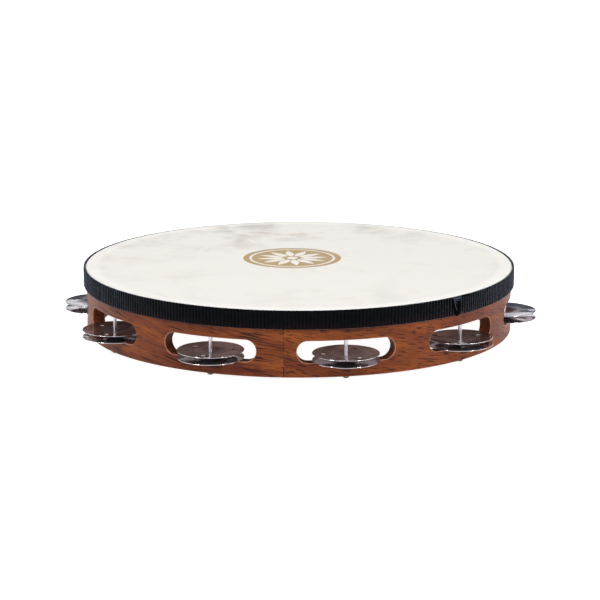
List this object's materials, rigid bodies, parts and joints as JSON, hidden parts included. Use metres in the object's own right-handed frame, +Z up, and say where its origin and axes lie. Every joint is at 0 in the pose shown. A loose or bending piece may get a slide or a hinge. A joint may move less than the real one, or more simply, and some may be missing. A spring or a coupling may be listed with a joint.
{
  "type": "tambourine",
  "caption": "Headed wooden tambourine: round slotted hoop with a skin head, webbing band and a row of paired steel jingles that slide on nails.",
  "frame": {"origin": "on the hoop's axis, level with the bottoms of the nail heads that it stands on", "axes": "+Z up through the head, which is uppermost; -Y towards the viewer, +X to the viewer's right"},
  "size_m": [0.2832, 0.2788, 0.0405],
  "materials": {
    "stained_wood": "red-brown stain under satin lacquer, with dark open pores",
    "core_wood": "stained, lacquered ply edge",
    "goat_skin": "natural rawhide, faintly mottled, satin",
    "webbing": "black ribbed woven tape",
    "badge_print": "matt tan print with a plain cream rosette",
    "nail_steel": "bright zinc-plated nail",
    "polished_steel": "polished steel with faint spun rings"
  },
  "bodies": {
    "hoop": {"outer_ply": "stained_wood", "core_ply": "core_wood", "inner_ply": "stained_wood", "goat_skin_head": "goat_skin", "webbing_band": "webbing", "webbing_fold": "webbing", "head_badge": "badge_print", "jingle_nails": "nail_steel"},
    "jingle_01_lower": {"jingle_01_lower_disc": "polished_steel"},
    "jingle_01_upper": {"jingle_01_upper_disc": "polished_steel"},
    "jingle_02_lower": {"jingle_02_lower_disc": "polished_steel"},
    "jingle_02_upper": {"jingle_02_upper_disc": "polished_steel"},
    "jingle_03_lower": {"jingle_03_lower_disc": "polished_steel"},
    "jingle_03_upper": {"jingle_03_upper_disc": "polished_steel"},
    "jingle_04_lower": {"jingle_04_lower_disc": "polished_steel"},
    "jingle_04_upper": {"jingle_04_upper_disc": "polished_steel"},
    "jingle_05_lower": {"jingle_05_lower_disc": "polished_steel"},
    "jingle_05_upper": {"jingle_05_upper_disc": "polished_steel"},
    "jingle_06_lower": {"jingle_06_lower_disc": "polished_steel"},
    "jingle_06_upper": {"jingle_06_upper_disc": "polished_steel"},
    "jingle_07_lower": {"jingle_07_lower_disc": "polished_steel"},
    "jingle_07_upper": {"jingle_07_upper_disc": "polished_steel"},
    "jingle_08_lower": {"jingle_08_lower_disc": "polished_steel"},
    "jingle_08_upper": {"jingle_08_upper_disc": "polished_steel"},
    "jingle_09_lower": {"jingle_09_lower_disc": "polished_steel"},
    "jingle_09_upper": {"jingle_09_upper_disc": "polished_steel"},
    "jingle_10_lower": {"jingle_10_lower_disc": "polished_steel"},
    "jingle_10_upper": {"jingle_10_upper_disc": "polished_steel"}
  },
  "joints": [
    {"name": "jingle_01_lower_slide", "type": "slide", "parent": "hoop", "child": "jingle_01_lower", "axis": [0, 0, 1], "range_m": [0, 0.0039]},
    {"name": "jingle_01_upper_slide", "type": "slide", "parent": "jingle_01_lower", "child": "jingle_01_upper", "axis": [0, 0, 1], "range_m": [0, 0.0038]},
    {"name": "jingle_02_lower_slide", "type": "slide", "parent": "hoop", "child": "jingle_02_lower", "axis": [0, 0, 1], "range_m": [0, 0.0039]},
    {"name": "jingle_02_upper_slide", "type": "slide", "parent": "jingle_02_lower", "child": "jingle_02_upper", "axis": [0, 0, 1], "range_m": [0, 0.0038]},
    {"name": "jingle_03_lower_slide", "type": "slide", "parent": "hoop", "child": "jingle_03_lower", "axis": [0, 0, 1], "range_m": [0, 0.0039]},
    {"name": "jingle_03_upper_slide", "type": "slide", "parent": "jingle_03_lower", "child": "jingle_03_upper", "axis": [0, 0, 1], "range_m": [0, 0.0038]},
    {"name": "jingle_04_lower_slide", "type": "slide", "parent": "hoop", "child": "jingle_04_lower", "axis": [0, 0, 1], "range_m": [0, 0.0039]},
    {"name": "jingle_04_upper_slide", "type": "slide", "parent": "jingle_04_lower", "child": "jingle_04_upper", "axis": [0, 0, 1], "range_m": [0, 0.0038]},
    {"name": "jingle_05_lower_slide", "type": "slide", "parent": "hoop", "child": "jingle_05_lower", "axis": [0, 0, 1], "range_m": [0, 0.0039]},
    {"name": "jingle_05_upper_slide", "type": "slide", "parent": "jingle_05_lower", "child": "jingle_05_upper", "axis": [0, 0, 1], "range_m": [0, 0.0038]},
    {"name": "jingle_06_lower_slide", "type": "slide", "parent": "hoop", "child": "jingle_06_lower", "axis": [0, 0, 1], "range_m": [0, 0.0039]},
    {"name": "jingle_06_upper_slide", "type": "slide", "parent": "jingle_06_lower", "child": "jingle_06_upper", "axis": [0, 0, 1], "range_m": [0, 0.0038]},
    {"name": "jingle_07_lower_slide", "type": "slide", "parent": "hoop", "child": "jingle_07_lower", "axis": [0, 0, 1], "range_m": [0, 0.0039]},
    {"name": "jingle_07_upper_slide", "type": "slide", "parent": "jingle_07_lower", "child": "jingle_07_upper", "axis": [0, 0, 1], "range_m": [0, 0.0038]},
    {"name": "jingle_08_lower_slide", "type": "slide", "parent": "hoop", "child": "jingle_08_lower", "axis": [0, 0, 1], "range_m": [0, 0.0039]},
    {"name": "jingle_08_upper_slide", "type": "slide", "parent": "jingle_08_lower", "child": "jingle_08_upper", "axis": [0, 0, 1], "range_m": [0, 0.0038]},
    {"name": "jingle_09_lower_slide", "type": "slide", "parent": "hoop", "child": "jingle_09_lower", "axis": [0, 0, 1], "range_m": [0, 0.0039]},
    {"name": "jingle_09_upper_slide", "type": "slide", "parent": "jingle_09_lower", "child": "jingle_09_upper", "axis": [0, 0, 1], "range_m": [0, 0.0038]},
    {"name": "jingle_10_lower_slide", "type": "slide", "parent": "hoop", "child": "jingle_10_lower", "axis": [0, 0, 1], "range_m": [0, 0.0039]},
    {"name": "jingle_10_upper_slide", "type": "slide", "parent": "jingle_10_lower", "child": "jingle_10_upper", "axis": [0, 0, 1], "range_m": [0, 0.0038]}
  ]
}
